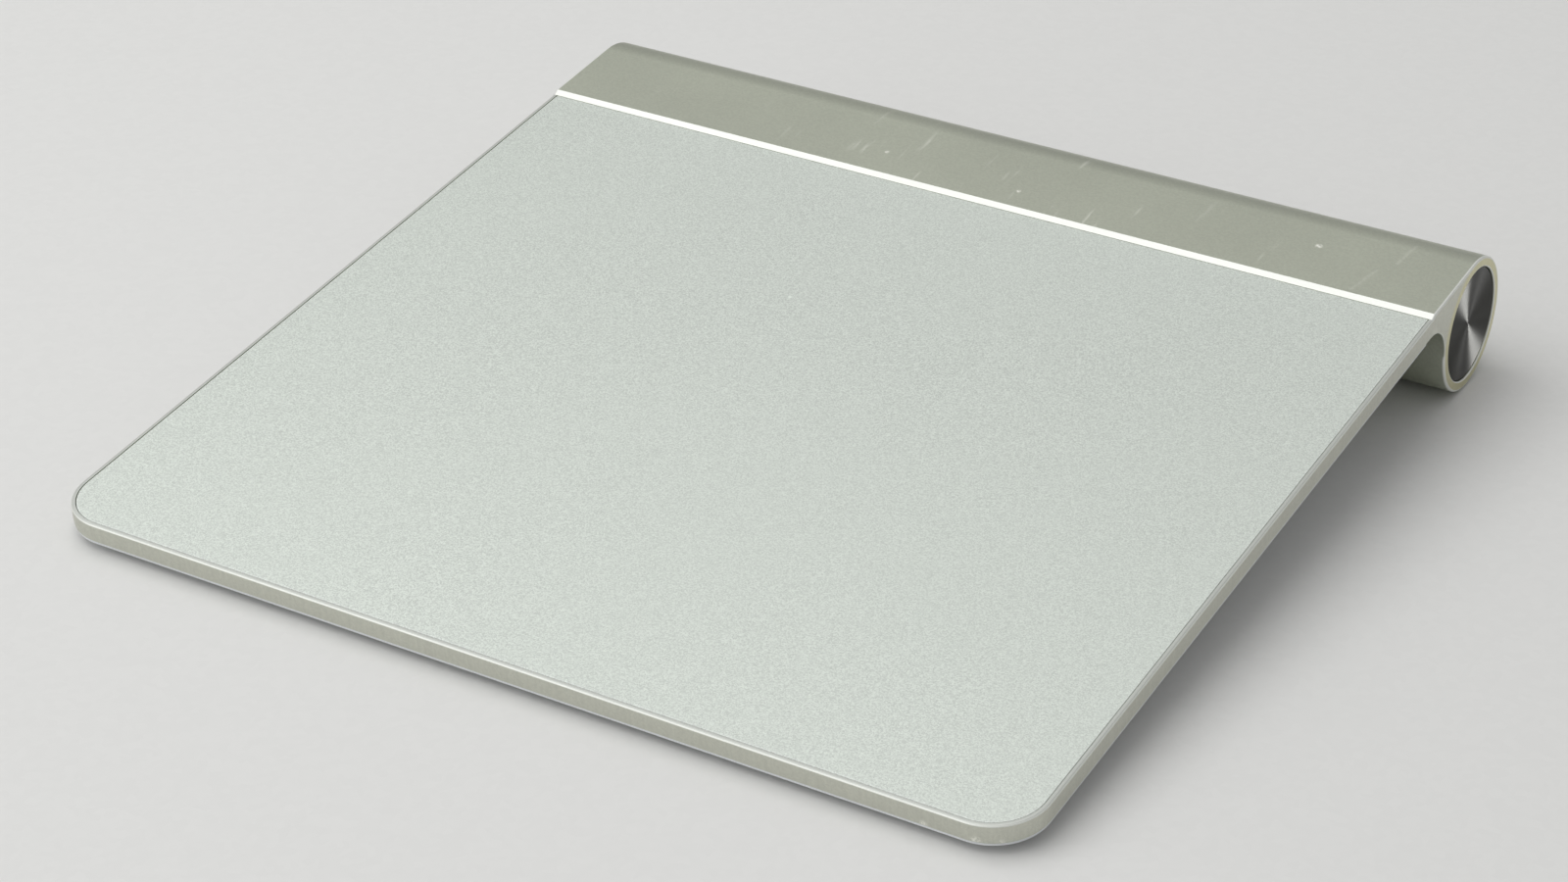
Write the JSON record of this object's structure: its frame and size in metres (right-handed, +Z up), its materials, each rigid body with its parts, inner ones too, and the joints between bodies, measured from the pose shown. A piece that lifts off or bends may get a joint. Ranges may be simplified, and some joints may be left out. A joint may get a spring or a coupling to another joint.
{
  "type": "wireless trackpad",
  "caption": "Wireless desk trackpad: a tilted glass touch surface in a one-piece aluminium plate with a round battery tube, press button, screw cap and clicking front feet.",
  "frame": {"origin": "on the desk, under the middle of the outline", "axes": "+X to the right along the battery tube, +Y from the user to the tube, +Z up"},
  "size_m": [0.13, 0.1313, 0.0181],
  "materials": {
    "anodised_aluminium": "satin anodised",
    "silver_glass": "frosted, printed silver behind",
    "spun_aluminium": "spun",
    "white_plastic": "moulded",
    "grey_rubber": "matt",
    "black_plastic": "moulded",
    "green_board": "lacquered",
    "black_chip": "moulded",
    "amber_film": "flexible film",
    "steel": "plain",
    "plated_brass": "plated",
    "cell_jacket": "printed film, plain",
    "grey_tape": "plain"
  },
  "bodies": {
    "housing": {"body_shell": "anodised_aluminium", "touch_glass": "silver_glass", "bottom_cover": "white_plastic", "ribbon_connector": "white_plastic", "antenna": "white_plastic", "indicator_led": "white_plastic", "rear_foot_left": "grey_rubber", "rear_foot_right": "grey_rubber", "switch_housing": "black_plastic", "button_guide": "black_plastic", "power_switch": "black_plastic", "board_film": "black_plastic", "main_board": "green_board", "switch_board": "green_board", "touch_chip": "black_chip", "radio_chip": "black_chip", "touch_sensor": "amber_film", "sensor_ribbon": "amber_film", "click_flex_left": "amber_film", "click_flex_right": "amber_film", "power_ribbon": "amber_film", "board_screws": "steel", "clock_crystal": "steel", "click_dome_left": "steel", "click_dome_right": "steel", "cap_collar": "plated_brass", "positive_contact": "plated_brass", "cell_left": "cell_jacket", "cell_right": "cell_jacket", "cover_tape": "grey_tape", "board_passives": "grey_tape"},
    "power_button": {"power_button": "spun_aluminium", "button_clip": "steel", "switch_plunger": "white_plastic"},
    "foot_left": {"front_foot_left": "grey_rubber", "foot_plunger_left": "black_plastic"},
    "foot_right": {"front_foot_right": "grey_rubber", "foot_plunger_right": "black_plastic"},
    "cap_spring": {"cap_spring": "steel"},
    "battery_cap": {"battery_cap": "spun_aluminium"}
  },
  "joints": [
    {"name": "power_press", "type": "slide", "parent": "housing", "child": "power_button", "axis": [-1, 0, 0], "range_m": [0, 0.0004], "stiffness_N_per_m": 4000, "springref_m": -0.0002},
    {"name": "foot_press_left", "type": "slide", "parent": "housing", "child": "foot_left", "axis": [0, -0.1132, 0.9936], "range_m": [0, 0.00025], "stiffness_N_per_m": 4000, "springref_m": -0.0001, "deforming": ["click_dome_left"]},
    {"name": "foot_press_right", "type": "slide", "parent": "housing", "child": "foot_right", "axis": [0, -0.1132, 0.9936], "range_m": [0, 0.00025], "stiffness_N_per_m": 4000, "springref_m": -0.0001, "deforming": ["click_dome_right"]},
    {"name": "cap_travel", "type": "slide", "parent": "housing", "child": "cap_spring", "axis": [-1, 0, 0], "range_m": [0, 0.005]},
    {"name": "cap_turn", "type": "hinge", "parent": "cap_spring", "child": "battery_cap", "pos_m": [-0.0648, 0.05675, 0.0092], "axis": [-1, 0, 0], "range_deg": [0, 1440]}
  ],
  "couplings": [
    {"joint": "cap_turn", "follows": "cap_travel", "rad_per_m": 5026.5}
  ]
}
